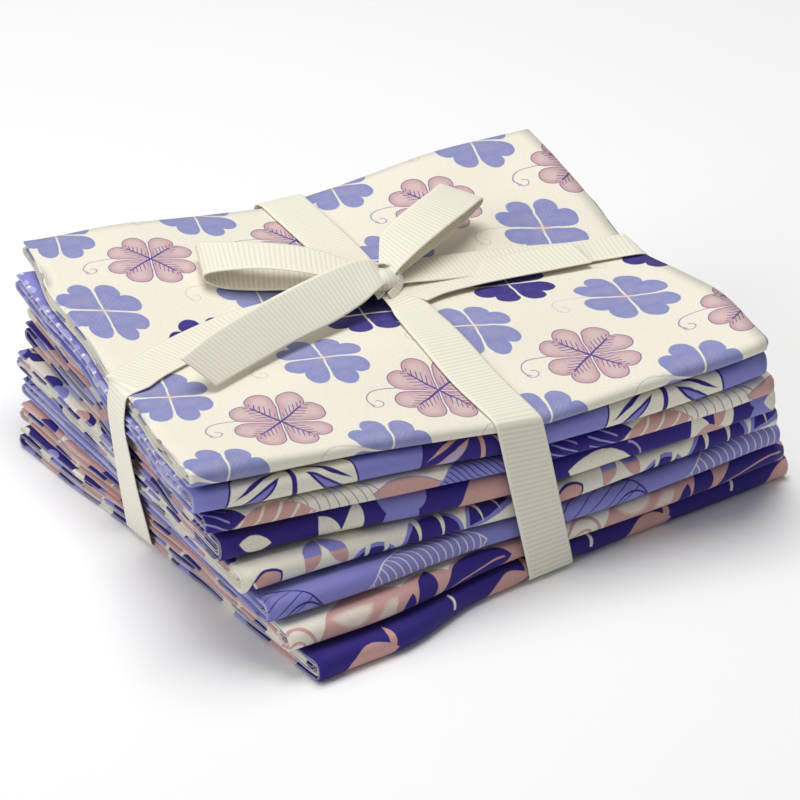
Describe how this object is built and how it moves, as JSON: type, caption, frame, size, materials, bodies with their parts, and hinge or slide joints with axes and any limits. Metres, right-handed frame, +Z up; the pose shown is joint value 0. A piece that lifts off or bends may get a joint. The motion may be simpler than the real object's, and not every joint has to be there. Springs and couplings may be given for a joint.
{
  "type": "fat quarter bundle",
  "caption": "Stack of folded cotton quilting fabrics tied both ways with a flat ribbon and a bow on top.",
  "frame": {"origin": "on the floor under the middle of the bundle's box", "axes": "+X along the long folds, -Y towards the round front folds, +Z up through the bow"},
  "size_m": [0.2002, 0.179, 0.0706],
  "materials": {
    "cream_cotton": "printed plain weave cotton, matt, cream ground",
    "lilac_cotton": "printed plain weave cotton, matt, lilac ground",
    "pink_cotton": "printed plain weave cotton, matt, dusty pink",
    "violet_cotton": "printed plain weave cotton, matt, dark violet ground",
    "cream_ribbon": "grosgrain ribbon with cross ribs, soft satin sheen"
  },
  "bodies": {
    "root": {"quarter_1_clover": "cream_cotton", "quarter_2_fan": "lilac_cotton", "quarter_3_feather": "pink_cotton", "quarter_4_flower": "violet_cotton", "quarter_5_garden": "cream_cotton", "quarter_6_lines": "lilac_cotton", "quarter_7_leaf": "pink_cotton", "quarter_8_tulip": "violet_cotton", "ribbon": "cream_ribbon"}
  },
  "joints": []
}
